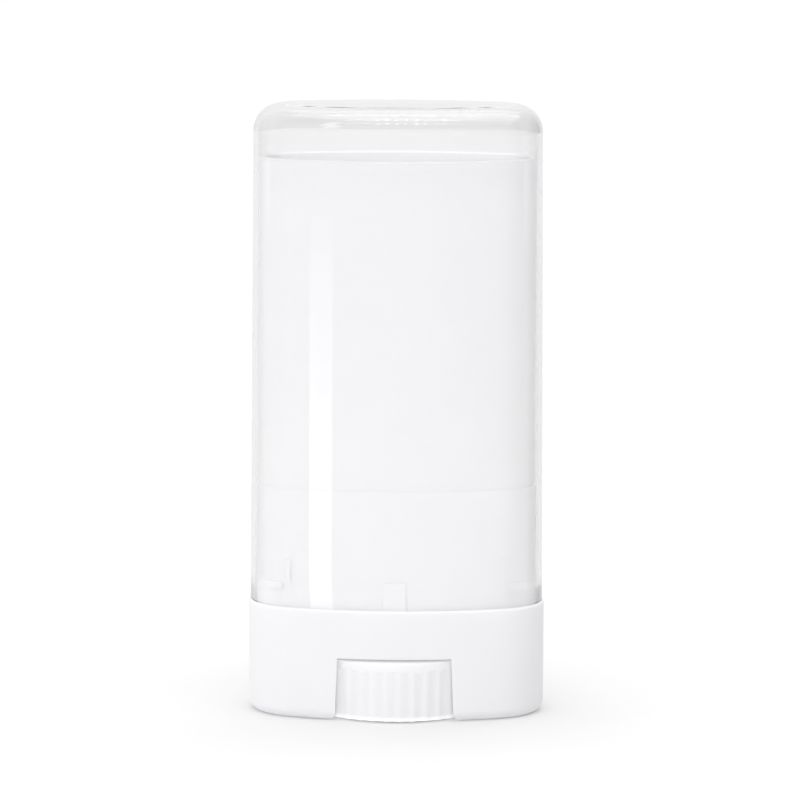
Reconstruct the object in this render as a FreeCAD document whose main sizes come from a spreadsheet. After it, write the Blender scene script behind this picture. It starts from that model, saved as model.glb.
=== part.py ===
# Oval twist-up stick dispenser, millimetres, +Z up.
# The origin is the middle of the base, on the surface that the dispenser stands on.
# +X is along the wide side, and the front, with one of the two dial windows, faces -Y.
#
# Five mouldings make it up: a clear cap, a one-piece barrel with its skirt, an elevator that
# carries the stick, and a dial with the threaded spindle that is snapped into its hub.
import FreeCAD, Part
import math
import os
import re

import Sketcher
from FreeCAD import Vector

# Every driving size, with what it measures.
SIZES = [
    ("overall_height", 72.0, "height over the cap"),
    # the oval that every moulding's outline is set in from
    ("body_half_width", 17.5, "half the outside width of the skirt"),
    ("body_half_depth", 9.2, "half the outside depth of the skirt"),
    ("front_radius", 37.0, "radius of the gently curved front and back"),
    # barrel
    ("shoulder_height", 13.2, "height of the ledge that the cap stands on"),
    ("neck_length", 14.0, "length of the wider neck that the cap grips"),
    ("rim_drop", 6.2, "the barrel's open rim below the cap's top"),
    ("neck_inset", 1.05, "neck set in from the skirt"),
    ("tube_inset", 1.2, "upper tube set in from the skirt"),
    ("tube_wall", 0.9, "wall of the upper tube"),
    ("skirt_wall", 1.4, "wall of the skirt"),
    ("skirt_round", 1.3, "rounding of the skirt's lower edge"),
    ("shoulder_break", 0.2, "the ledge's outer edge, broken at 45 degrees"),
    ("rim_break", 0.2, "both edges of the open rim, broken the same way"),
    ("chamber_break", 0.2, "bevel round the chamber's floor"),
    ("well_height", 7.5, "height of the space for the dial"),
    ("floor_wall", 1.2, "floor between the dial's space and the chamber"),
    ("window_half_width", 6.7, "half the window's width at its top"),
    ("window_lean", 0.3, "how far each window side leans out at its foot"),
    ("window_flare", 1.0, "rounding at the foot of each window side"),
    ("guard_wall", 0.9, "round wall that guards the dial"),
    ("pod_rib", 0.8, "stiffening rib under each end of the base"),
    ("pod_start", 10.4, "where the hollow under each end starts"),
    # what centres the cap on the neck
    ("lug_width", 2.6, "width of the locating lug at front and back"),
    ("lug_length", 3.2, "height of the locating lug"),
    ("rib_offset", 12.5, "crush ribs' distance from the middle"),
    ("rib_width", 0.5, "width of a crush rib"),
    ("rib_length", 2.5, "height of a crush rib"),
    ("rib_lift", 3.2, "crush ribs' height above the ledge"),
    ("bead_start", 13.2, "inner end of a snap bead"),
    ("bead_length", 2.2, "length of a snap bead along the width"),
    ("bead_thickness", 0.7, "height of a snap bead"),
    ("bead_lift", 2.1, "snap beads' height above the ledge"),
    ("grip_clearance", 0.08, "lugs, crush ribs and beads to the cap"),
    # cap
    ("cap_inset", 0.2, "cap's lower edge set in from the skirt"),
    ("cap_wall", 0.55, "side wall of the cap"),
    ("cap_top_wall", 0.7, "top wall of the cap"),
    ("cap_draw", 0.35, "how far the cap draws in over its height"),
    ("crown_round", 3.2, "rounding of the cap's crown"),
    # dial
    ("dial_radius", 10.3, "radius over the dial's grip ribs"),
    ("dial_lift", 0.3, "dial clear of what the base stands on"),
    ("dial_height", 6.9, "height of the dial's wheel"),
    ("dial_rim_wall", 1.4, "rim of the dial"),
    ("dial_web", 1.2, "web that joins the rim to the hub"),
    ("dial_collar", 0.9, "plain band above the grip ribs"),
    ("dial_edge_break", 0.3, "the wheel's edges, broken at 45 degrees"),
    ("groove_count", 40, "grooves between the grip ribs"),
    ("groove_width", 0.5, "width of a groove where it opens"),
    ("groove_depth", 0.35, "depth of a groove"),
    ("spoke_count", 6, "ribs under the web"),
    ("spoke_width", 0.8, "thickness of those ribs"),
    ("spoke_lift", 1.1, "ribs' lower edge above the wheel's foot"),
    ("hub_radius", 4.2, "radius of the hub"),
    ("well_clearance", 0.3, "dial to the round wall beside it"),
    ("thrust_clearance", 0.15, "end play of the dial and spindle in the barrel's floor"),
    # spindle
    ("tip_drop", 5.2, "the spindle's tip below the open rim"),
    ("journal_radius", 3.1, "spindle where it turns in the barrel's floor"),
    ("journal_clearance", 0.08, "journal to its hole"),
    ("collar_radius", 4.4, "collar that keeps the spindle up"),
    ("collar_height", 1.0, "thickness of that collar"),
    ("crest_radius", 2.75, "crest of the thread"),
    ("root_radius", 2.0, "root of the thread"),
    ("lead", 5.0, "rise of the elevator for one turn"),
    ("crest_width", 1.6, "width of the thread at its crest"),
    ("root_width", 2.6, "width of the thread at its root"),
    ("thread_end", 3.4, "middle of the thread's last turn below the spindle's tip"),
    ("spindle_tip_break", 0.6, "the spindle's tip, broken at 45 degrees"),
    ("thread_bite", 0.1, "how far a thread's foot sinks into what carries it"),
    ("plug_flats", 4.2, "plug's width across flats"),
    ("plug_length", 5.0, "how far the plug reaches into the dial"),
    ("socket_clearance", 0.03, "plug to its socket"),
    # elevator
    ("elevator_clearance", 0.3, "elevator to the chamber's wall"),
    ("elevator_height", 6.5, "height of the elevator's skirt"),
    ("elevator_wall", 0.8, "wall of the elevator's skirt"),
    ("deck_lift", 3.2, "deck's underside above the skirt's foot"),
    ("deck_wall", 1.1, "thickness of the deck"),
    ("boss_radius", 4.1, "outside of the threaded boss"),
    ("boss_height", 7.0, "height of the threaded boss"),
    ("boss_clearance", 0.3, "boss to the spindle's collar"),
    ("thread_clearance", 0.16, "boss's thread to the spindle's, on the radius"),
    ("flank_clearance", 0.12, "boss's thread to the spindle's, along the axis"),
    ("boss_thread_margin", 1.8, "middle of the boss's thread from each end of the boss"),
    ("vane_width", 0.8, "thickness of the vanes on the deck"),
    ("vane_height", 1.9, "height of the vanes that key the stick"),
    ("slot_start", 7.2, "inner end of each slot that the stick is cast through"),
    ("slot_length", 3.6, "length of such a slot along the width"),
    ("slot_half_width", 3.6, "half the width of such a slot"),
    # bodies that cut
    ("cut_margin", 1.0, "how far a cutting body passes the face that it opens"),
]

doc = FreeCAD.newDocument("StickDispenser")
sheet = doc.addObject("Spreadsheet::Sheet", "Sizes")
for row, (alias, value, meaning) in enumerate(SIZES, start=1):
    sheet.set(f"A{row}", meaning)
    sheet.set(f"B{row}", str(value))
    sheet.setAlias(f"B{row}", alias)
doc.recompute()
REFERENCES = {alias: f"Sizes.{alias}" for alias, _, _ in SIZES}


def bound(words):
    """Turns the aliases in an expression into references to the sheet."""
    return re.sub(r"[a-z_]+", lambda found: REFERENCES.get(found[0], found[0]), words)


def evaluate(words):
    """What an expression of the sizes comes to."""
    total = sheet.evalExpression(bound(words))
    return float(getattr(total, "Value", total))


# Heights that several mouldings share, as expressions of the sizes.
CHAMBER_FLOOR = "well_height + floor_wall"
RIM = "overall_height - rim_drop"
SPINDLE_TOP = f"{RIM} - tip_drop"
HUB_TOP = "well_height - thrust_clearance"
DIAL_TOP = "dial_lift + dial_height"
HUB_FOOT = "dial_lift + spoke_lift"
COLLAR_TOP = f"{CHAMBER_FLOOR} + collar_height"
BOSS_FOOT = f"{COLLAR_TOP} + boss_clearance"
BOSS_THREAD = f"{BOSS_FOOT} + boss_thread_margin"
# half a lead away from the boss's thread, so each runs in the other's groove
SPINDLE_THREAD = f"{BOSS_THREAD} - lead / 2"
DECK_TOP = f"{CHAMBER_FLOOR} + deck_lift + deck_wall"
# How far the mouldings' outlines are set in from the skirt.
CHAMBER_INSET = "tube_inset + tube_wall"
ELEVATOR_INSET = f"{CHAMBER_INSET} + elevator_clearance"
CAP_INNER_INSET = "cap_inset + cap_wall"
GRIP_INSET = f"{CAP_INNER_INSET} + grip_clearance"


def bind(item, **properties):
    """Binds properties of a document object to expressions of the sizes."""
    for name, words in properties.items():
        item.setExpression(name, bound(words))
    return item


def new_body(name):
    return doc.addObject("PartDesign::Body", name)


def origin_plane(body, role):
    return next(item for item in body.Origin.OriginFeatures if item.Role == role)


def new_sketch(body, name, role="XY_Plane", lift="0"):
    """A sketch on one of its body's own origin planes, moved along that plane's normal."""
    sketch = body.newObject("Sketcher::SketchObject", name)
    sketch.AttachmentSupport = [(origin_plane(body, role), "")]
    sketch.MapMode = "FlatFace"
    sketch.setExpression("AttachmentOffset.Base.z", bound(lift))
    return sketch


def dimension(sketch, kind, words, *ends):
    """A driving dimension of a sketch, bound to an expression of the sizes."""
    index = sketch.addConstraint(Sketcher.Constraint(kind, *ends, evaluate(words)))
    sketch.setExpression(f"Constraints[{index}]", bound(words))


# Sketcher's own numbers for the points of a line or an arc, and for its axes.
START, END, MIDDLE = range(1, 4)
X_AXIS, Y_AXIS = range(-1, -3, -1)
ORIGIN = (X_AXIS, START)


def oval_sketch(body, name, inset, lift="0"):
    """The four-arc oval, set in by an even distance all round.

    The front and back arcs have the set radius, and the end arcs follow from being tangent to
    them and reaching the half width.
    """
    sketch = new_sketch(body, name, "XY_Plane", lift)
    half_width = evaluate(f"body_half_width - ({inset})")
    half_depth = evaluate(f"body_half_depth - ({inset})")
    front = evaluate(f"front_radius - ({inset})")
    reach = front - half_depth
    end = (front**2 - reach**2 - half_width**2) / (2 * (front - half_width))
    turn = math.atan2(reach, half_width - end)

    def arc(x, y, radius, first, last):
        circle = Part.Circle(Vector(x, y, 0), Vector(0, 0, 1), radius)
        return sketch.addGeometry(Part.ArcOfCircle(circle, first, last), False)

    right = arc(half_width - end, 0, end, -turn, turn)
    back = arc(0, -reach, front, turn, math.pi - turn)
    left = arc(end - half_width, 0, end, math.pi - turn, math.pi + turn)
    face = arc(0, reach, front, math.pi + turn, 2 * math.pi - turn)
    tip = sketch.addGeometry(Part.Point(Vector(half_width, 0, 0)), True)
    round_trip = [right, back, left, face, right]
    for one, other in zip(round_trip, round_trip[1:]):
        sketch.addConstraint(Sketcher.Constraint("Tangent", one, END, other, START))
    sketch.addConstraint(Sketcher.Constraint("PointOnObject", back, MIDDLE, Y_AXIS))
    sketch.addConstraint(Sketcher.Constraint("PointOnObject", face, MIDDLE, Y_AXIS))
    sketch.addConstraint(Sketcher.Constraint("PointOnObject", tip, START, X_AXIS))
    sketch.addConstraint(Sketcher.Constraint("PointOnObject", tip, START, right))
    sketch.addConstraint(Sketcher.Constraint("Equal", back, face))
    sketch.addConstraint(Sketcher.Constraint("Equal", right, left))
    dimension(sketch, "Radius", f"front_radius - ({inset})", back)
    dimension(sketch, "DistanceX", f"body_half_width - ({inset})", *ORIGIN, tip, START)
    # both are measured upwards, so each stays a positive number
    dimension(sketch, "DistanceY", "front_radius - body_half_depth", back, MIDDLE, *ORIGIN)
    dimension(sketch, "DistanceY", "front_radius - body_half_depth", *ORIGIN, face, MIDDLE)
    return sketch


def circle_sketch(body, name, radius, lift="0"):
    """A circle about the upright axis, on a level plane."""
    sketch = new_sketch(body, name, "XY_Plane", lift)
    circle = Part.Circle(Vector(0, 0, 0), Vector(0, 0, 1), evaluate(radius))
    index = sketch.addGeometry(circle, False)
    dimension(sketch, "Radius", radius, index)
    sketch.addConstraint(Sketcher.Constraint("Coincident", index, MIDDLE, *ORIGIN))
    return sketch


def place(sketch, index, point, x, y):
    """Ties a point of a sketch to coordinates given as expressions."""
    for kind, axis, words in (("DistanceX", Y_AXIS, x), ("DistanceY", X_AXIS, y)):
        if words == "0":
            sketch.addConstraint(Sketcher.Constraint("PointOnObject", index, point, axis))
        else:
            dimension(sketch, kind, words, *ORIGIN, index, point)


def polygon_sketch(body, name, corners, role="XZ_Plane", lift="0"):
    """A closed outline of straight lines, each corner tied to a pair of expressions."""
    sketch = new_sketch(body, name, role, lift)
    points = [Vector(evaluate(x), evaluate(y), 0) for x, y in corners]
    count = len(points)
    for index in range(count):
        line = Part.LineSegment(points[index], points[(index + 1) % count])
        sketch.addGeometry(line, False)
    for index in range(count):
        after = (index + 1) % count
        sketch.addConstraint(Sketcher.Constraint("Coincident", index, END, after, START))
    for index, (x, y) in enumerate(corners):
        place(sketch, index, START, x, y)
    return sketch


def pad(body, name, sketch, length, midplane=False):
    item = body.newObject("PartDesign::Pad", name)
    item.Profile = sketch
    item.Midplane = midplane
    return bind(item, Length=length)


def pocket(body, name, sketch, length, upwards=False, midplane=False):
    """Cuts a sketch's outline out, downwards unless it is told otherwise."""
    item = body.newObject("PartDesign::Pocket", name)
    item.Profile = sketch
    item.Reversed = upwards
    item.Midplane = midplane
    return bind(item, Length=length)


# Two heights or places nearer than this are the same.
SAME = 1e-4


def level_edges(item, height, wanted=lambda box: True):
    """Names of a feature's level edges at one height whose boxes meet a further test."""
    doc.recompute()
    level = evaluate(height)
    names = []
    for index, edge in enumerate(item.Shape.Edges, start=1):
        box = edge.BoundBox
        if max(abs(box.ZMin - level), abs(box.ZMax - level)) < SAME and wanted(box):
            names.append(f"Edge{index}")
    return names


def fillet(body, name, base, edges, radius):
    item = body.newObject("PartDesign::Fillet", name)
    item.Base = (base, edges)
    return bind(item, Radius=radius)


def bevel(body, name, base, edges, size):
    item = body.newObject("PartDesign::Chamfer", name)
    item.Base = (base, edges)
    return bind(item, Size=size)


def revolve(body, name, sketch):
    item = body.newObject("PartDesign::Revolution", name)
    item.Profile = sketch
    item.ReferenceAxis = (sketch, ["V_Axis"])
    item.Angle = 360
    return item


def around(body, name, feature, count):
    """Repeats a feature evenly about the body's upright axis."""
    doc.recompute()
    item = body.newObject("PartDesign::PolarPattern", name)
    item.Originals = [feature]
    item.Axis = (origin_plane(body, "Z_Axis"), [""])
    item.Angle = 360
    bind(item, Occurrences=count)
    body.Tip = item
    return item


def helix(body, name, sketch, turns):
    """Winds a profile up the upright axis at the spindle's lead, right-handed."""
    item = body.newObject("PartDesign::AdditiveHelix", name)
    item.Profile = sketch
    item.ReferenceAxis = (sketch, ["V_Axis"])
    item.Mode = "pitch-turns-angle"
    bind(item, Pitch="lead", Turns=turns)
    return item


def box(name, corner, length, width, height):
    """An upright block from its lowest corner."""
    item = doc.addObject("Part::Box", name)
    bind(item, Length=length, Width=width, Height=height)
    for axis, words in zip("xyz", corner):
        item.setExpression(f"Placement.Base.{axis}", bound(words))
    return item


def fuse(name, items):
    item = doc.addObject("Part::MultiFuse", name)
    item.Shapes = items
    item.Refine = True
    return item


def join(kind, name, base, tool):
    """A Part::Cut or Part::Common of two shapes."""
    item = doc.addObject(kind, name)
    item.Base = base
    item.Tool = tool
    item.Refine = True
    return item


def barrel_walls():
    """The outside of the barrel: skirt, neck, tube and the lugs that centre the cap."""
    body = new_body("barrel_walls")
    skirt = pad(body, "skirt", oval_sketch(body, "skirt_outline", "0"), "shoulder_height")
    foot = fillet(body, "skirt_foot", skirt, level_edges(skirt, "0"), "skirt_round")
    bevel(body, "ledge", foot, level_edges(foot, "shoulder_height"), "shoulder_break")
    neck_outline = oval_sketch(body, "neck_outline", "neck_inset", "shoulder_height")
    pad(body, "neck", neck_outline, "neck_length")
    tube_outline = oval_sketch(body, "tube_outline", "tube_inset", "shoulder_height")
    pad(body, "tube", tube_outline, f"{RIM} - shoulder_height")
    lug = [
        ("-lug_width / 2", "shoulder_height"),
        ("lug_width / 2", "shoulder_height"),
        ("lug_width / 2", "shoulder_height + lug_length"),
        ("-lug_width / 2", "shoulder_height + lug_length"),
    ]
    lug_outline = polygon_sketch(body, "lug_outline", lug)
    pad(body, "lugs", lug_outline, f"2 * (body_half_depth - ({GRIP_INSET}))", midplane=True)
    return body


def grip_band(name, lift, height, start, length):
    """A band round the neck that nearly touches the cap, kept near each end of the oval."""
    foot = f"shoulder_height + {lift}"
    band = new_body(f"{name}_band")
    outline = oval_sketch(band, f"{name}_outline", GRIP_INSET, foot)
    pad(band, f"{name}_ring", outline, height)
    depth = "2 * body_half_depth"
    right = box(f"{name}_right", (start, "-body_half_depth", foot), length, depth, height)
    left_start = f"-({start}) - {length}"
    left = box(f"{name}_left", (left_start, "-body_half_depth", foot), length, depth, height)
    return join("Part::Common", f"{name}_grips", band, fuse(f"{name}_places", [left, right]))


def barrel_chamber():
    """The space inside the tube, down to the chamber's floor."""
    body = new_body("barrel_chamber")
    outline = oval_sketch(body, "chamber_outline", CHAMBER_INSET, CHAMBER_FLOOR)
    height = f"{RIM} + cut_margin - ({CHAMBER_FLOOR})"
    space = pad(body, "chamber_space", outline, height)
    bevel(body, "chamber_foot", space, level_edges(space, CHAMBER_FLOOR), "chamber_break")
    return body


def dial_space():
    """The round well for the dial and the hole that the spindle's journal runs in."""
    body = new_body("dial_space")
    well = circle_sketch(body, "well_outline", "dial_radius + well_clearance", "-cut_margin")
    pad(body, "well", well, "well_height + cut_margin")
    hole = circle_sketch(body, "journal_hole", "journal_radius + journal_clearance", "0")
    pad(body, "journal_space", hole, f"{CHAMBER_FLOOR} + cut_margin")
    return body


def dial_windows():
    """The openings at front and back that leave the dial's rim within reach of a thumb."""
    body = new_body("dial_windows")
    foot = "window_half_width + window_lean"
    # wide enough that the rounding at the foot of each side fits on it
    ledge = f"{foot} + 2 * window_flare"
    corners = [
        ("-window_half_width", "well_height"),
        ("window_half_width", "well_height"),
        (foot, "0"),
        (ledge, "0"),
        (ledge, "-cut_margin"),
        (f"-({ledge})", "-cut_margin"),
        (f"-({ledge})", "0"),
        (f"-({foot})", "0"),
    ]
    outline = polygon_sketch(body, "window_outline", corners)
    depth = "2 * (body_half_depth + cut_margin)"
    windows = pad(body, "windows", outline, depth, midplane=True)
    half_foot = evaluate(foot)

    def at_side(box):
        return box.XLength < SAME and abs(abs(box.Center.x) - half_foot) < SAME

    flares = level_edges(windows, "0", at_side)
    fillet(body, "window_flares", windows, flares, "window_flare")
    return body


def end_pods():
    """The hollows under the two ends of the base, outside the wall that guards the dial."""
    block = new_body("pod_block")
    outline = oval_sketch(block, "pod_outline", "skirt_wall", "-cut_margin")
    pad(block, "pod_space", outline, "well_height + cut_margin")
    height = "well_height + 2 * cut_margin"
    guard = doc.addObject("Part::Cylinder", "guard")
    bind(guard, Radius="dial_radius + well_clearance + guard_wall", Height=height)
    guard.setExpression("Placement.Base.z", bound("-cut_margin"))
    middle_corner = ("-pod_start", "-body_half_depth", "-cut_margin")
    middle = box("pod_middle", middle_corner, "2 * pod_start", "2 * body_half_depth", height)
    rib_corner = ("-body_half_width", "-pod_rib / 2", "-cut_margin")
    rib = box("pod_ribs", rib_corner, "2 * body_half_width", "pod_rib", height)
    return join("Part::Cut", "end_pods", block, fuse("pod_walls", [guard, middle, rib]))


def make_barrel():
    """The barrel, moulded in one piece with its skirt and its floor."""
    ribs = grip_band("rib", "rib_lift", "rib_length", "rib_offset - rib_width / 2", "rib_width")
    beads = grip_band("bead", "bead_lift", "bead_thickness", "bead_start", "bead_length")
    outside = fuse("barrel_outside", [barrel_walls(), ribs, beads])
    hollows = [barrel_chamber(), dial_space(), dial_windows(), end_pods()]
    body = new_body("barrel_body")
    body.BaseFeature = join("Part::Cut", "barrel_hollowed", outside, fuse("hollows", hollows))
    doc.recompute()
    bevel(body, "rim", body.Tip, level_edges(body.Tip, RIM), "rim_break")
    body.Label = "barrel"
    return body


def make_cap():
    """The clear cap: thin drafted walls, a rounded crown and a flat top."""
    body = new_body("cap_body")
    height = "overall_height - shoulder_height"
    taper = f"-atan(cap_draw / ({height}))"
    lip = oval_sketch(body, "cap_lip", "cap_inset", "shoulder_height")
    bind(pad(body, "cap_outside", lip, height), TaperAngle=taper)
    mouth = oval_sketch(body, "cap_mouth", CAP_INNER_INSET, "shoulder_height")
    inside = pocket(body, "cap_inside", mouth, f"{height} - cap_top_wall", upwards=True)
    bind(inside, TaperAngle=taper)
    ceiling = level_edges(inside, "overall_height - cap_top_wall")
    hollow = fillet(body, "crown_inside", inside, ceiling, "crown_round - cap_wall")
    fillet(body, "crown", hollow, level_edges(hollow, "overall_height"), "crown_round")
    body.Label = "cap"
    return body


def make_dial():
    """The dial: a ribbed wheel on a hub, hollow underneath, with a socket for the spindle."""
    body = new_body("dial_body")
    inner = "dial_radius - dial_rim_wall"
    web_foot = f"{DIAL_TOP} - dial_web"
    profile = [
        ("0", HUB_FOOT),
        ("hub_radius", HUB_FOOT),
        ("hub_radius", web_foot),
        (inner, web_foot),
        (inner, "dial_lift"),
        ("dial_radius", "dial_lift"),
        ("dial_radius", DIAL_TOP),
        ("hub_radius", DIAL_TOP),
        ("hub_radius", HUB_TOP),
        ("0", HUB_TOP),
    ]
    wheel = revolve(body, "wheel", polygon_sketch(body, "wheel_profile", profile))
    rim_width = 2 * evaluate(inner)

    def outer_edge(box):
        return box.XLength > rim_width + SAME

    foot_edge = level_edges(wheel, "dial_lift", outer_edge)
    foot = bevel(body, "wheel_foot", wheel, foot_edge, "dial_edge_break")
    top_edge = level_edges(foot, DIAL_TOP, outer_edge)
    bevel(body, "wheel_crown", foot, top_edge, "dial_edge_break")
    # a notch whose sides reach the set width where they leave the wheel
    groove_corners = [
        ("0", "-(dial_radius - groove_depth)"),
        ("-groove_width", "-(dial_radius + groove_depth)"),
        ("groove_width", "-(dial_radius + groove_depth)"),
    ]
    groove_outline = polygon_sketch(body, "groove_outline", groove_corners, "XY_Plane")
    groove = pocket(body, "groove", groove_outline, f"{DIAL_TOP} - dial_collar", upwards=True)
    around(body, "grooves", groove, "groove_count")
    # each rib under the web starts inside the hub and ends inside the rim
    rib_start = "hub_radius / 2"
    rib_end = f"{inner} + dial_rim_wall / 4"
    rib_top = f"{web_foot} + dial_web / 2"
    rib_profile = [
        (rib_start, HUB_FOOT),
        (rib_end, HUB_FOOT),
        (rib_end, rib_top),
        (rib_start, rib_top),
    ]
    rib_outline = polygon_sketch(body, "web_rib_outline", rib_profile)
    rib = pad(body, "web_rib", rib_outline, "spoke_width", midplane=True)
    around(body, "web_ribs", rib, "spoke_count")
    socket_outline = hexagon_sketch(
        body, "socket_outline", "plug_flats + 2 * socket_clearance", HUB_TOP
    )
    pocket(body, "socket", socket_outline, "plug_length + thrust_clearance")
    body.Label = "dial"
    return body


def hexagon_sketch(body, name, flats, lift):
    """A hexagon across flats, its flats facing along the depth."""
    side = f"({flats}) / (2 * sqrt(3))"
    across = f"({flats}) / 2"
    corners = [
        (f"2 * {side}", "0"),
        (side, across),
        (f"-{side}", across),
        (f"-2 * {side}", "0"),
        (f"-{side}", f"-{across}"),
        (side, f"-{across}"),
    ]
    return polygon_sketch(body, name, corners, "XY_Plane", lift)


def thread_sketch(body, name, radii, widths, middle):
    """A thread's cross-section: its foot and tip radii, its widths there and its height."""
    corners = [
        (radii[0], f"{middle} - ({widths[0]}) / 2"),
        (radii[1], f"{middle} - ({widths[1]}) / 2"),
        (radii[1], f"{middle} + ({widths[1]}) / 2"),
        (radii[0], f"{middle} + ({widths[0]}) / 2"),
    ]
    return polygon_sketch(body, name, corners)


def make_spindle():
    """The spindle: a threaded post with a collar, a journal and a hexagonal plug."""
    body = new_body("spindle_body")
    profile = [
        ("0", HUB_TOP),
        ("journal_radius", HUB_TOP),
        ("journal_radius", CHAMBER_FLOOR),
        ("collar_radius", CHAMBER_FLOOR),
        ("collar_radius", COLLAR_TOP),
        ("root_radius", COLLAR_TOP),
        ("root_radius", SPINDLE_TOP),
        ("0", SPINDLE_TOP),
    ]
    post = revolve(body, "post", polygon_sketch(body, "post_profile", profile))
    bevel(body, "tip", post, level_edges(post, SPINDLE_TOP), "spindle_tip_break")
    plug_outline = hexagon_sketch(body, "plug_outline", "plug_flats", f"{HUB_TOP} - plug_length")
    pad(body, "plug", plug_outline, "plug_length")
    thread = thread_sketch(
        body,
        "thread_profile",
        ("root_radius - thread_bite", "crest_radius"),
        ("root_width", "crest_width"),
        SPINDLE_THREAD,
    )
    helix(body, "thread", thread, f"({SPINDLE_TOP} - thread_end - ({SPINDLE_THREAD})) / lead")
    body.Label = "spindle"
    return body


def make_elevator():
    """The elevator: a skirted oval deck on a threaded boss, with vanes that key the stick."""
    body = new_body("elevator_body")
    outline = oval_sketch(body, "elevator_outline", ELEVATOR_INSET, CHAMBER_FLOOR)
    pad(body, "elevator_block", outline, "elevator_height")
    inset = f"{ELEVATOR_INSET} + elevator_wall"
    tray_outline = oval_sketch(body, "tray_outline", inset, f"{CHAMBER_FLOOR} + elevator_height")
    pocket(body, "tray", tray_outline, "elevator_height - deck_lift - deck_wall")
    under_outline = oval_sketch(body, "under_outline", inset, CHAMBER_FLOOR)
    pocket(body, "underside", under_outline, "deck_lift", upwards=True)
    boss_outline = circle_sketch(body, "boss_outline", "boss_radius", BOSS_FOOT)
    pad(body, "boss", boss_outline, "boss_height")
    # the vanes run from wall to wall, sunk into the deck and the walls
    vane_end = f"body_half_width - ({inset}) + elevator_wall / 2"
    vane_foot = f"{DECK_TOP} - deck_wall / 2"
    vane_top = f"{DECK_TOP} + vane_height"
    vane_profile = [
        (f"-({vane_end})", vane_foot),
        (vane_end, vane_foot),
        (vane_end, vane_top),
        (f"-({vane_end})", vane_top),
    ]
    vane_outline = polygon_sketch(body, "vane_outline", vane_profile)
    pad(body, "vanes", vane_outline, "vane_width", midplane=True)
    # the vanes bridge the slots, so that the stick is keyed round them
    for side, sign in (("right", ""), ("left", "-")):
        slot = [
            (f"{sign}slot_start", "-slot_half_width"),
            (f"{sign}(slot_start + slot_length)", "-slot_half_width"),
            (f"{sign}(slot_start + slot_length)", "slot_half_width"),
            (f"{sign}slot_start", "slot_half_width"),
        ]
        slot_outline = polygon_sketch(body, f"slot_{side}_outline", slot, "XY_Plane", DECK_TOP)
        pocket(body, f"slot_{side}", slot_outline, "deck_wall")
    bore_radius = "crest_radius + thread_clearance"
    bore = circle_sketch(body, "bore_outline", bore_radius, f"{BOSS_FOOT} + boss_height")
    pocket(body, "bore", bore, "boss_height")
    thread = thread_sketch(
        body,
        "boss_thread_profile",
        (f"{bore_radius} + thread_bite", "root_radius + thread_clearance"),
        ("lead - crest_width - 2 * flank_clearance", "lead - root_width - 2 * flank_clearance"),
        BOSS_THREAD,
    )
    helix(body, "boss_thread", thread, "(boss_height - 2 * boss_thread_margin) / lead")
    body.Label = "elevator"
    return body


def check_document():
    """Stops if anything in the document failed to build."""
    doc.recompute()
    for item in doc.Objects:
        if "Invalid" in item.State or "Error" in item.State:
            raise RuntimeError(f"{item.Name} failed: {item.State}")


def export(parts):
    os.makedirs("parts", exist_ok=True)
    for part in parts:
        shape = part.Shape
        if shape.isNull() or not shape.isValid() or len(shape.Solids) != 1:
            raise RuntimeError(f"{part.Label} is not one valid solid")
        print(part.Label, round(shape.Volume, 2), "mm3,", len(shape.Faces), "faces")
        shape.exportStep(f"parts/{part.Label}.step")


made = [make_cap(), make_barrel(), make_elevator(), make_spindle(), make_dial()]
check_document()
export(made)
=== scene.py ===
"""An oval twist-up stick dispenser in a clear cap, standing in a white studio.

Metres throughout. The origin is the middle of the base, +Z is up and the front faces -Y.
"""

import math
from functools import cached_property

import bpy
from mathutils import Matrix, Vector


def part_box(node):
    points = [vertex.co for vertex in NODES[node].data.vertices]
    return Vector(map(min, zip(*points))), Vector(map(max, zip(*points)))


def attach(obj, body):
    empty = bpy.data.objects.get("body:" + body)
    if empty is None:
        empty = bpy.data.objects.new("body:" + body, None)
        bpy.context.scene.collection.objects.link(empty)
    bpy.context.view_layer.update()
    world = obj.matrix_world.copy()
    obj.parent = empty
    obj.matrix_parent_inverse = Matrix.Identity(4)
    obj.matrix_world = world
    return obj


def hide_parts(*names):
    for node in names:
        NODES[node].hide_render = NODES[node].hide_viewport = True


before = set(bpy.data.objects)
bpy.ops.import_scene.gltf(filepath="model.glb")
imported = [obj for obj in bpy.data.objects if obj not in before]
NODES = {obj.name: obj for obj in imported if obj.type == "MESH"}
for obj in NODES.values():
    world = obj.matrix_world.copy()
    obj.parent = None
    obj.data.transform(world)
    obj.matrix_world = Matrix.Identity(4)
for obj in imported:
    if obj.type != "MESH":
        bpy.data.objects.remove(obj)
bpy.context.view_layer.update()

MM = 0.001

# The camera stands a little to the right of the front and looks slightly down.
CAMERA_SPOT = Vector((15.0, -572.4, 116.8)) * MM
CAMERA_YAW = math.radians(1.467)
CAMERA_PITCH = math.radians(7.941)
CAMERA_ROLL = math.radians(0.225)
LENS_MM = 220.4
SENSOR_MM = 36.0
CLIP_START, CLIP_END = 0.01, 20.0
# Light that is caught in the cap's crown needs this many turns to get out again.
CROWN_BOUNCES = 56

# Unpigmented polypropylene: two tones for its clouds, on the barrel and on the dial.
NATURAL_WHITE = ((0.864, 0.863, 0.88, 1), (0.849, 0.848, 0.865, 1))
DIAL_WHITE = ((0.9, 0.897, 0.915, 1), (0.885, 0.882, 0.9, 1))
PLASTIC_IOR = 1.49
ROUGHNESS_SPREAD = 0.05
SCATTER_REACH = 1.2 * MM
CLOUDS = {"scale": 90.0, "detail": 4.0, "stretch": (1.0, 1.0, 0.35)}
SKIN = {"scale": 2600.0, "detail": 4.0}
PEEL = {"scale": 700.0, "detail": 2.0}
PEEL_DEPTH, PEEL_STRENGTH = 0.01 * MM, 0.35

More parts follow.
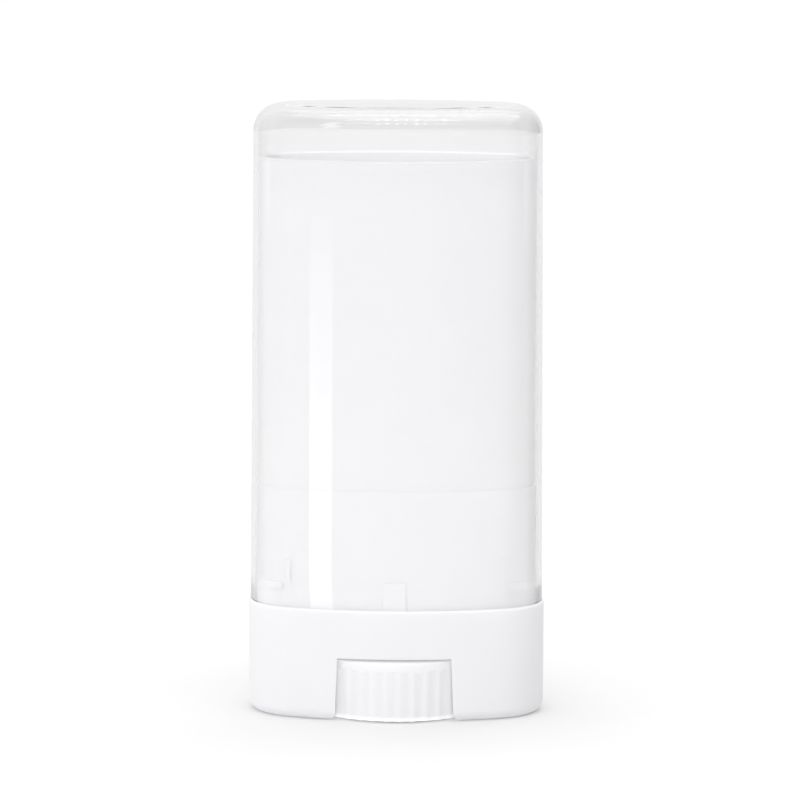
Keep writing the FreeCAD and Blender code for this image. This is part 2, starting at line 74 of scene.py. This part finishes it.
# The milky plastic above the ledge, where the cap goes over it: painted lighter low down, as
# painted light, and painted darker up towards the mouth, as painted shade.
CAPPED_PAINTED_LIGHT = (0.882, 0.881, 0.892, 1)
UPPER_PAINTED_SHADE = (0.838, 0.837, 0.85, 1)
UPPER_SHADE_SPAN = (30 * MM, 62 * MM)
LEDGE_BLUR = 0.6 * MM

# The well that the dial turns in, and how much painted light glows on its wall, standing in for
# light that comes through it.
WELL_GLOW = 0.2
WELL_SPAN = (10.62 * MM, 10.9 * MM)
WELL_TOP = (7.51 * MM, 7.54 * MM)

# The painted light, a glow, inside the open mouth, by distance from the middle of the chamber's
# front arc.
MOUTH_GLOW = 0.16
OVAL_REACH = 27.8 * MM
CHAMBER_SPAN = (35.1 * MM, 35.3 * MM)
MOUTH_SPAN = (55 * MM, 62 * MM)
# Painted shade: the top of the barrel's rim is darker, down to these depths below it.
RIM_PAINTED_SHADE = (0.74, 0.74, 0.75, 1)
RIM_DEPTHS = (0.3 * MM, 0.2 * MM)
# How far across the body's broad middle gives way to its two ends.
END_REACH = (13.5 * MM, 15.5 * MM)
# The painted light, a glow, at the neck's two ends, by height above the ledge.
NECK_GLOW = 0.07
NECK_START = (0.05 * MM, 0.15 * MM)
NECK_FADE = (1.8 * MM, 3.3 * MM)
# The painted light, a glow, at a piece's foot, for light that comes off the table.
BARREL_FOOT_GLOW = 0.12
DIAL_FOOT_GLOW = 0.3
FOOT_REACH = 0.6 * MM

# The cap's clear plastic: two tones for its haze, what passes it on the way to a shadow,
# and painted shade in its crown and at its ends, where the eye looks a long way through it.
CLEAR = ((0.966, 0.966, 0.97, 1), (0.958, 0.958, 0.963, 1))
UNSHADED = (1, 1, 1, 1)
HAZE = {"scale": 140.0, "detail": 3.0}
SCUFFS = {"scale": 1800.0, "detail": 5.0, "stretch": (1.0, 1.0, 0.2)}
SCUFF_ROUGHNESS = (0.015, 0.05)
WAVES = {"scale": 160.0, "detail": 1.0}
WAVE_DEPTH, WAVE_STRENGTH = 0.01 * MM, 0.3
CROWN_PAINTED_SHADE = (0.924, 0.924, 0.928, 1)
CROWN_SPAN = (61 * MM, 67.5 * MM)
END_PAINTED_SHADE = (0.82, 0.822, 0.828, 1)
END_SPAN = (15.2 * MM, 16.9 * MM)

# How bright the tent is towards the plus and the minus end of each axis.
TENT_TONES = {"X": (0.25, 1.06), "Y": (0.91, 1.34), "Z": (0.98, 0.8)}

# The floor is painted darker near the piece, as a painted shadow, whiter a little way off, and
# whiter still on the sweep behind, with a faint glow, as painted light.
FLOOR_HALF = 6.0
FLOOR_TONES = ((0.865, 0.865, 0.865, 1), (0.85, 0.85, 0.852, 1))
FLOOR_GRAIN = {"scale": 60.0, "detail": 3.0}
PAST_SHADOW_TONE = (0.905, 0.905, 0.905, 1)
PAINTED_SHADOW_SPAN = (0.018, 0.05)
SWEEP_TONE = (0.985, 0.985, 0.985, 1)
SWEEP_SPAN = (0.3, 1.3)
SWEEP_GLOW = 0.05
FLOOR_ROUGHNESS = 0.9
FLOOR_GLOSS = 0.1

# The softbox overhead, a little to the right, and where the lamps aim.
OVERHEAD_SPOT = (0.2, 0.05, 1.0)
OVERHEAD_SIZE = 1.1
OVERHEAD_BRIGHTNESS = 0.9
MIDDLE = Vector((0, 0, 0.036))

# The strip softbox to the front left.
STRIP_SPOT = (-0.40, -0.69)
STRIP_WIDTH = 0.125
STRIP_FOOT = -0.50
STRIP_TOP = -0.012
STRIP_FADE = 0.05
STRIP_STEPS = 5
STRIP_BRIGHTNESS = 2.2
KICKER_SPOT = (-0.355, -0.555, 0.69)
KICKER_WIDTH, KICKER_LENGTH = 0.07, 0.25
KICKER_BRIGHTNESS = 3.5

# The bars of small lamps: how many, how far apart, and how far back and up they hang.
BARS = ((12, 0.0174, -0.15, 0.39), (12, 0.0189, -0.01, 0.43))
LAMP_WIDTH = 0.006
LAMP_LENGTH = 0.025
LAMP_BRIGHTNESS = 9.0

# Where two faces of a mesh meet at more than this, their edge stays sharp.
SHARP_ANGLE = math.radians(30)

# The cap's outline, set in from its lip, as the solid has it.
FRONT_RADIUS = 36.8 * MM
CAP_DRAW = 0.35 * MM
CAP_WALL = 0.55 * MM
CAP_TOP_WALL = 0.7 * MM
CROWN_ROUND = 3.2 * MM
LIP_ROUND = 0.12 * MM
RING_POINTS = 384
WALL_STEPS = 16
CROWN_STEPS = 20
LIP_STEPS = 4

# The dial, as the solid has it, and its flutes.
HUB_STEP = 0.15 * MM
HUB_RADIUS = 4.2 * MM
SOCKET_RADIUS = 2.46 * MM
SOCKET_FLOOR = 0.8 * MM
DIAL_RIM = 1.4 * MM
DIAL_WEB = 1.2 * MM
DIAL_COLLAR = 0.9 * MM
DIAL_EDGE = 0.14 * MM
EDGE_STEPS = 4
SPOKES = 6
SPOKE_WIDTH = 0.8 * MM
SPOKE_LIFT = 1.1 * MM
FLUTES = 40
FLUTE_POINTS = 14
FLUTE_DEPTH = 0.15 * MM
FLUTE_FADE = 0.35 * MM
FLUTE_TURN = math.radians(3.9)
CREST_SOFTNESS = 0.28


# ---------------------------------------------------------------- geometry


def oval_ring(half_width, half_depth, front, inset, count):
    """Points evenly spaced round the four-arc oval, set in by an even distance."""
    wide, deep, broad = half_width - inset, half_depth - inset, front - inset
    reach = broad - deep
    end = (broad**2 - reach**2 - wide**2) / (2 * (broad - wide))
    turn = math.atan2(reach, wide - end)
    arcs = [
        ((wide - end, 0), end, -turn, turn),
        ((0, -reach), broad, turn, math.pi - turn),
        ((end - wide, 0), end, math.pi - turn, math.pi + turn),
        ((0, reach), broad, math.pi + turn, 2 * math.pi - turn),
    ]
    quarter = count // len(arcs)
    points = []
    for (x, y), radius, first, last in arcs:
        for step in range(quarter):
            angle = first + (last - first) * step / quarter
            points.append((x + radius * math.cos(angle), y + radius * math.sin(angle)))
    return points


def quarter_round(radius, steps):
    """Pairs that run from (0, 0) to (radius, radius) along a quarter circle."""
    for step in range(steps + 1):
        angle = math.pi / 2 * step / steps
        yield radius * (1 - math.cos(angle)), radius * math.sin(angle)


def add_mesh(name, points, faces):
    mesh = bpy.data.meshes.new(name)
    mesh.from_pydata(points, [], faces)
    mesh.validate()
    mesh.shade_smooth()
    mesh.set_sharp_from_angle(angle=SHARP_ANGLE)
    piece = bpy.data.objects.new(name, mesh)
    bpy.context.scene.collection.objects.link(piece)
    return piece


def oval_shell(name, outline, levels, count):
    """A closed shell through oval rings given as (inset, height), capped at both ends."""
    points = []
    for inset, height in levels:
        ring = oval_ring(*outline, inset, count)
        points += [(x, y, height) for x, y in ring]
    faces = []
    for level in range(len(levels) - 1):
        low, high = level * count, (level + 1) * count
        for one in range(count):
            other = (one + 1) % count
            faces.append((low + one, low + other, high + other, high + one))
    last = (len(levels) - 1) * count
    faces.append(tuple(range(last, last + count)))
    faces.append(tuple(reversed(range(count))))
    return add_mesh(name, points, faces)


def make_cap():
    """The clear cap, from the middle of its ceiling round the lip to the middle of its top."""
    low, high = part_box("cap")
    outline = (high.x, high.y, FRONT_RADIUS)

    def drawn(z):
        return CAP_DRAW * (z - low.z) / (high.z - low.z)

    def side(inset, top):
        """The drafted stretch from the rounded lip up to the crown, both ends left out."""
        foot = low.z + LIP_ROUND
        for step in range(1, WALL_STEPS):
            z = foot + (top - foot) * step / WALL_STEPS
            yield inset + drawn(z), z

    def crown(inset, top, radius):
        """The rounding between a side and the level face above it, from the side up."""
        for inward, rise in quarter_round(radius, CROWN_STEPS):
            z = top - radius + rise
            yield inset + drawn(z) + inward, z

    inner_round = CROWN_ROUND - CAP_WALL
    ceiling = high.z - CAP_TOP_WALL
    inside = [*side(CAP_WALL, ceiling - inner_round), *crown(CAP_WALL, ceiling, inner_round)]
    outside = [*side(0, high.z - CROWN_ROUND), *crown(0, high.z, CROWN_ROUND)]
    lip = list(quarter_round(LIP_ROUND, LIP_STEPS))
    inner_lip = [(CAP_WALL - down, low.z + LIP_ROUND - along) for down, along in lip]
    outer_lip = [(down, low.z + LIP_ROUND - along) for down, along in reversed(lip)]
    levels = inside[::-1] + inner_lip + outer_lip + outside
    cap = oval_shell("cap_shell", outline, levels, RING_POINTS)
    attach(cap, "cap")
    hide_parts("cap")
    return cap


def flute(angle):
    """How deep the dial's fluting is at an angle: 0 on a rib's crest, 1 in mid flute."""
    wave = math.hypot(math.sin((angle - FLUTE_TURN) * FLUTES / 2), CREST_SOFTNESS)
    return (wave - CREST_SOFTNESS) / (math.hypot(1, CREST_SOFTNESS) - CREST_SOFTNESS)


def turned(profile, count):
    """Turns (radius, height, flute depth) corners about +Z, from the axis back to it."""
    points = [(0, 0, profile[0][1])]
    for radius, height, depth in profile[1:-1]:
        for step in range(count):
            angle = 2 * math.pi * step / count
            reach = radius - depth * flute(angle)
            points.append((reach * math.cos(angle), reach * math.sin(angle), height))
    points.append((0, 0, profile[-1][1]))
    last = len(points) - 1
    faces = []
    for one in range(count):
        other = (one + 1) % count
        faces.append((0, 1 + other, 1 + one))
        for level in range(len(profile) - 3):
            low, high = 1 + level * count, 1 + (level + 1) * count
            faces.append((low + one, low + other, high + other, high + one))
        faces.append((last, last - count + one, last - count + other))
    return points, faces


def block(corner, opposite, turn):
    """An upright block between two corners, turned about +Z."""
    (x0, y0, z0), (x1, y1, z1) = corner, opposite
    spots = [(x, y, z) for x in (x0, x1) for y in (y0, y1) for z in (z0, z1)]
    spin = Matrix.Rotation(turn, 3, "Z")
    faces = [(0, 1, 3, 2), (4, 6, 7, 5), (0, 4, 5, 1), (2, 3, 7, 6), (0, 2, 6, 4), (1, 5, 7, 3)]
    return [tuple(spin @ Vector(spot)) for spot in spots], faces


def make_dial():
    """The dial: a fluted wheel on a hub, hollow underneath, with ribs under its web."""
    low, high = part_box("dial")
    foot, top, rim = low.z, high.z - HUB_STEP, high.x
    inner, web_foot = rim - DIAL_RIM, top - DIAL_WEB
    rib_foot = foot + SPOKE_LIFT
    profile = [(0, rib_foot + SOCKET_FLOOR, 0), (SOCKET_RADIUS, rib_foot + SOCKET_FLOOR, 0)]
    profile += [(SOCKET_RADIUS, high.z, 0), (HUB_RADIUS, high.z, 0), (HUB_RADIUS, top, 0)]
    for inset, rise in reversed(list(quarter_round(DIAL_EDGE, EDGE_STEPS))):
        profile.append((rim - inset, top - DIAL_EDGE + rise, 0))
    # the flutes start softly below a plain collar and run out through the foot
    flute_top = top - DIAL_COLLAR
    for step in range(EDGE_STEPS + 1):
        ease = step / EDGE_STEPS
        depth = FLUTE_DEPTH * ease * ease * (3 - 2 * ease)
        profile.append((rim, flute_top - FLUTE_FADE * ease, depth))
    for inset, rise in quarter_round(DIAL_EDGE, EDGE_STEPS):
        profile.append((rim - inset, foot + DIAL_EDGE - rise, FLUTE_DEPTH))
    profile += [(inner, foot, 0), (inner, web_foot, 0), (HUB_RADIUS, web_foot, 0)]
    profile += [(HUB_RADIUS, rib_foot, 0), (0, rib_foot, 0)]
    points, faces = turned(profile, FLUTES * FLUTE_POINTS)
    # where a spoke's two near edges meet the hub, so that their feet don't lie in its foot
    spoke_start = math.sqrt(HUB_RADIUS**2 - (SPOKE_WIDTH / 2) ** 2)
    for spoke in range(SPOKES):
        near = (spoke_start, -SPOKE_WIDTH / 2, rib_foot)
        far = (inner + DIAL_RIM / 4, SPOKE_WIDTH / 2, web_foot + DIAL_WEB / 2)
        more, sides = block(near, far, 2 * math.pi * spoke / SPOKES)
        faces += [tuple(len(points) + corner for corner in side) for side in sides]
        points += more
    dial = add_mesh("dial_wheel", points, faces)
    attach(dial, "dial")
    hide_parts("dial")
    return dial


# ---------------------------------------------------------------- materials


class Graph:
    """A node tree and short ways to add nodes to it."""

    def __init__(self, tree):
        self.nodes, self.links = tree.nodes, tree.links

    def feed(self, socket, value):
        """Links one node's output to an input, or sets the input to a value."""
        if isinstance(value, bpy.types.NodeSocket):
            self.links.new(value, socket)
        else:
            socket.default_value = value

    def fill(self, node, **inputs):
        """Feeds a node's inputs by their names, with underscores for the spaces."""
        for name, value in inputs.items():
            self.feed(node.inputs[name.replace("_", " ")], value)
        return node

    def add(self, kind, **inputs):
        return self.fill(self.nodes.new(f"ShaderNode{kind}"), **inputs)

    def through(self, node, *values):
        """Feeds the inputs that a node has in use, in their order, and gives its output."""
        in_use = [socket for socket in node.inputs if socket.enabled]
        for socket, value in zip(in_use, values):
            self.feed(socket, value)
        return next(socket for socket in node.outputs if socket.enabled)

    def calculated(self, kind, operation, *values):
        """What a Math or VectorMath node makes of these values."""
        node = self.add(kind)
        node.operation = operation
        return self.through(node, *values)

    def times(self, one, *others):
        for other in others:
            one = self.calculated("Math", "MULTIPLY", one, other)
        return one

    def mixed(self, factor, one, other):
        """One colour where the factor is 0 and the other where it is 1."""
        node = self.add("Mix")
        node.data_type = "RGBA"
        return self.through(node, factor, one, other)

    def ranged(self, value, low, high, start=0.3, end=0.7):
        """Low up to the start, high from the end on, and evenly between."""
        ends = {"From_Min": start, "From_Max": end, "To_Min": low, "To_Max": high}
        return self.add("MapRange", Value=value, **ends).outputs["Result"]


class Shading(Graph):
    """A material's nodes, and the places on the piece that its looks can go by."""

    def __init__(self, name):
        self.material = bpy.data.materials.new(name)
        self.material.use_nodes = True
        super().__init__(self.material.node_tree)
        self.shader = self.nodes["Principled BSDF"]
        self.output = self.nodes["Material Output"]

    @cached_property
    def place(self):
        """The place on the piece, in metres from the origin that its mesh has."""
        return self.add("TexCoord").outputs["Object"]

    @cached_property
    def height(self):
        return self.add("SeparateXYZ", Vector=self.place).outputs["Z"]

    @cached_property
    def folded(self):
        """The same on all four sides, as distances from the middle."""
        return self.calculated("VectorMath", "ABSOLUTE", self.place)

    @cached_property
    def across(self):
        return self.add("SeparateXYZ", Vector=self.folded).outputs["X"]

    def noise(self, scale, detail, stretch=(1, 1, 1)):
        """Noise with this many features to the metre."""
        spread = self.add("Mapping", Vector=self.place, Scale=stretch).outputs["Vector"]
        return self.add("TexNoise", Vector=spread, Scale=scale, Detail=detail).outputs["Fac"]

    def bumped(self, height, distance, strength):
        bump = self.add("Bump", Height=height, Distance=distance, Strength=strength)
        self.fill(self.shader, Normal=bump.outputs["Normal"])


def well_glow(look):
    """The painted light, a glow, on the round wall of the dial's well and on its roof."""
    flat = look.calculated("VectorMath", "MULTIPLY", look.place, (1, 1, 0))
    reach = look.calculated("VectorMath", "LENGTH", flat)
    inside = look.ranged(reach, WELL_GLOW, 0, *WELL_SPAN)
    return look.times(inside, look.ranged(look.height, 1, 0, *WELL_TOP))


def mouth_glow(look):
    """The painted light, a glow, on the chamber's wall near the open rim."""
    centred = look.calculated("VectorMath", "ADD", look.folded, (0, OVAL_REACH, 0))
    flat = look.calculated("VectorMath", "MULTIPLY", centred, (1, 1, 0))
    reach = look.calculated("VectorMath", "LENGTH", flat)
    inside = look.ranged(reach, MOUTH_GLOW, 0, *CHAMBER_SPAN)
    amid = look.ranged(look.across, 1, 0, *END_REACH)
    return look.times(inside, amid, look.ranged(look.height, 0, 1, *MOUTH_SPAN))


def neck_glow(look, ledge):
    """The painted light, a glow, on the neck's two ends just above the ledge."""
    end = look.ranged(look.across, 0, NECK_GLOW, *END_REACH)
    above = look.ranged(look.height, 0, 1, *(ledge + rise for rise in NECK_START))
    low = look.ranged(look.height, 1, 0, *(ledge + rise for rise in NECK_FADE))
    return look.times(end, above, low)


def milky_plastic(name, tones, rough, scatter, foot=None, foot_glow=0.0, ledge=None):
    """Unpigmented polypropylene: milky, with faint flow clouds and a fine moulded skin.

    Painted light, a glow standing in for daylight that comes through the walls, keeps it from
    going dark at its foot, where one is given, and on the barrel, which alone has a ledge, in the
    dial's well, at the neck's two ends and in the mouth. On the barrel, painted light and painted
    shade also make the plastic above the ledge lighter low down and darker towards the mouth,
    and painted shade darkens the top of its rim.
    """
    look = Shading(name)
    tone = look.mixed(look.ranged(look.noise(**CLOUDS), 0, 1), *tones)
    glow = 0.0
    if foot is not None:
        # painted light: a glow at the foot
        glow = look.ranged(look.height, foot_glow, 0, foot, foot + FOOT_REACH)
    if ledge is not None:
        # painted light and painted shade: above the ledge the plastic is lighter low down and
        # darker towards the mouth
        under_cap = look.ranged(look.height, 0, 1, ledge - LEDGE_BLUR, ledge + LEDGE_BLUR)
        upper_shade = look.ranged(look.height, 0, 1, *UPPER_SHADE_SPAN)
        tone = look.mixed(under_cap, tone, look.mixed(upper_shade, CAPPED_PAINTED_LIGHT, UPPER_PAINTED_SHADE))
        # painted light: the glows in the well, at the neck's ends and in the mouth
        for more in (well_glow(look), mouth_glow(look), neck_glow(look, ledge)):
            glow = look.calculated("Math", "MAXIMUM", glow, more)
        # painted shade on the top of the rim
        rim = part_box("barrel")[1].z
        edge = look.ranged(look.height, 0, 1, *(rim - depth for depth in RIM_DEPTHS))
        tone = look.mixed(edge, tone, RIM_PAINTED_SHADE)
    skin = look.noise(**SKIN)
    smooth, dull = rough - ROUGHNESS_SPREAD, rough + ROUGHNESS_SPREAD
    look.fill(
        look.shader,
        Base_Color=tone,
        Roughness=look.ranged(skin, smooth, dull),
        IOR=PLASTIC_IOR,
        Subsurface_Weight=scatter,
        Subsurface_Radius=(1.0, 1.0, 1.0),
        Subsurface_Scale=SCATTER_REACH,
        Emission_Color=(1, 1, 1, 1),
        Emission_Strength=glow,
    )
    look.bumped(look.noise(**PEEL), PEEL_DEPTH, PEEL_STRENGTH)
    return look.material


def clear_plastic(name):
    """Crystal-clear plastic with faint moulded waves; shadows pass through it."""
    look = Shading(name)
    tone = look.mixed(look.ranged(look.noise(**HAZE), 0, 1), *CLEAR)
    # painted shade: darker in the crown and at the two ends
    tone = look.mixed(look.ranged(look.height, 0, 1, *CROWN_SPAN), tone, CROWN_PAINTED_SHADE)
    tone = look.mixed(look.ranged(look.across, 0, 1, *END_SPAN), tone, END_PAINTED_SHADE)
    look.fill(
        look.shader,
        Base_Color=tone,
        Roughness=look.ranged(look.noise(**SCUFFS), *SCUFF_ROUGHNESS),
        IOR=PLASTIC_IOR,
        Transmission_Weight=1.0,
    )
    look.bumped(look.noise(**WAVES), WAVE_DEPTH, WAVE_STRENGTH)
    path = look.add("LightPath").outputs
    soft = look.calculated("Math", "MAXIMUM", path["Is Shadow Ray"], path["Is Diffuse Ray"])
    seen = look.shader.outputs["BSDF"]
    unseen = look.add("BsdfTransparent", Color=UNSHADED).outputs["BSDF"]
    look.fill(look.output, Surface=look.through(look.add("MixShader"), soft, seen, unseen))
    return look.material


def dress(node, material):
    piece = NODES[node]
    if not piece.material_slots:
        piece.data.materials.append(material)
    for holder in piece.material_slots:
        holder.material = material


# ---------------------------------------------------------------- studio


def make_floor():
    half = FLOOR_HALF
    corners = [(-half, -half, 0), (half, -half, 0), (half, half, 0), (-half, half, 0)]
    floor = add_mesh("floor", corners, [(0, 1, 2, 3)])
    look = Shading("pale_floor")
    reach = look.calculated("VectorMath", "LENGTH", look.place)
    tone = look.mixed(look.ranged(look.noise(**FLOOR_GRAIN), 0, 1), *FLOOR_TONES)
    # painted shadow: darker near the piece, lighter past it
    tone = look.mixed(look.ranged(reach, 0, 1, *PAINTED_SHADOW_SPAN), tone, PAST_SHADOW_TONE)
    # painted light: whiter and faintly glowing farther off
    sweep = look.ranged(reach, 0, 1, *SWEEP_SPAN)
    look.fill(
        look.shader,
        Base_Color=look.mixed(sweep, tone, SWEEP_TONE),
        Roughness=FLOOR_ROUGHNESS,
        Specular_IOR_Level=FLOOR_GLOSS,
        Emission_Color=(1, 1, 1, 1),
        Emission_Strength=look.ranged(sweep, 0, SWEEP_GLOW, 0, 1),
    )
    floor.data.materials.append(look.material)
    # the strips that light the front run on below the table, so gloss looks past it
    floor.visible_glossy = False


def make_world():
    """A white tent with its own tone on each side, which blend by direction."""
    world = bpy.data.worlds.new("tent")
    bpy.context.scene.world = world
    world.use_nodes = True
    tent = Graph(world.node_tree)
    towards = tent.add("TexCoord").outputs["Generated"]
    split = tent.add("SeparateXYZ", Vector=towards).outputs
    total = 0.0
    for axis, tones in TENT_TONES.items():
        for sign, tone in zip((1, -1), tones):
            signed = tent.times(split[axis], sign)
            facing = tent.calculated("Math", "MAXIMUM", signed, 0.0)
            total = tent.calculated("Math", "ADD", tent.times(facing, facing, tone), total)
    tent.fill(tent.nodes["Background"], Color=(1, 1, 1, 1), Strength=total)


def add_light(name, spot, aim, width, height, brightness, sparkle=False):
    """A softbox that faces a point; brightness is the radiance that the eye sees.

    A sparkle shows in gloss alone and adds nothing to the even light.
    """
    light = bpy.data.lights.new(name, "AREA")
    light.shape = "RECTANGLE"
    light.size, light.size_y = width, height
    light.energy = brightness * math.pi * width * height
    lamp = bpy.data.objects.new(name, light)
    lamp.location = spot
    lamp.rotation_euler = (Vector(aim) - Vector(spot)).to_track_quat("-Z", "Y").to_euler()
    lamp.visible_camera = False
    lamp.visible_diffuse = not sparkle
    bpy.context.scene.collection.objects.link(lamp)


def make_lights():
    side = OVERHEAD_SIZE
    add_light("overhead", OVERHEAD_SPOT, (0, 0, 0), side, side, OVERHEAD_BRIGHTNESS)
    # the tall strip whose reflection runs down the left of the cap, fading out upwards
    foot, top = STRIP_FOOT, STRIP_TOP - STRIP_FADE
    for step in range(STRIP_STEPS + 1):
        spot = Vector((*STRIP_SPOT, (foot + top) / 2))
        level = Vector((0, 0, spot.z))
        share = STRIP_BRIGHTNESS * (1 - step / (STRIP_STEPS + 1))
        add_light(f"strip_{step}", spot, level, STRIP_WIDTH, top - foot, share)
        foot, top = top, top + STRIP_FADE / STRIP_STEPS
    kicker_size = KICKER_WIDTH, KICKER_LENGTH
    add_light("kicker", KICKER_SPOT, MIDDLE, *kicker_size, KICKER_BRIGHTNESS, sparkle=True)
    # two bars of small lamps overhead, which sparkle in the cap's crown
    lamp_size = LAMP_WIDTH, LAMP_LENGTH
    for row, (count, pitch, depth, height) in enumerate(BARS):
        for place in range(count):
            name = f"lamp_{row}_{place}"
            spot = Vector(((place - (count - 1) / 2) * pitch, depth, height))
            add_light(name, spot, MIDDLE, *lamp_size, LAMP_BRIGHTNESS, sparkle=True)


def make_camera():
    camera = bpy.data.cameras.new("camera")
    camera.lens = LENS_MM
    camera.sensor_width = SENSOR_MM
    camera.clip_start, camera.clip_end = CLIP_START, CLIP_END
    holder = bpy.data.objects.new("camera", camera)
    turn = Matrix.Rotation(CAMERA_YAW, 4, "Z")
    turn = turn @ Matrix.Rotation(math.pi / 2 - CAMERA_PITCH, 4, "X")
    turn = turn @ Matrix.Rotation(CAMERA_ROLL, 4, "Z")
    holder.matrix_world = Matrix.Translation(CAMERA_SPOT) @ turn
    bpy.context.scene.collection.objects.link(holder)
    bpy.context.scene.camera = holder


cap = make_cap()
cap.data.materials.append(clear_plastic("clear_cap_plastic"))
barrel_plastic = milky_plastic(
    "milky_barrel",
    NATURAL_WHITE,
    rough=0.34,
    scatter=0.4,
    foot=0,
    foot_glow=BARREL_FOOT_GLOW,
    ledge=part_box("cap")[0].z,
)
dress("barrel", barrel_plastic)
dial = make_dial()
dial_plastic = milky_plastic(
    "milky_dial",
    DIAL_WHITE,
    rough=0.42,
    scatter=0.6,
    foot=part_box("dial")[0].z,
    foot_glow=DIAL_FOOT_GLOW,
)
dial.data.materials.append(dial_plastic)
for node in ("elevator", "spindle"):
    inner_plastic = milky_plastic(f"white_{node}_plastic", NATURAL_WHITE, rough=0.45, scatter=0.2)
    dress(node, inner_plastic)

make_floor()
make_world()
make_lights()
make_camera()
bpy.context.scene.view_settings.view_transform = "Standard"
cycles = bpy.context.scene.cycles
cycles.max_bounces = CROWN_BOUNCES
cycles.transmission_bounces = CROWN_BOUNCES
cycles.glossy_bounces = CROWN_BOUNCES
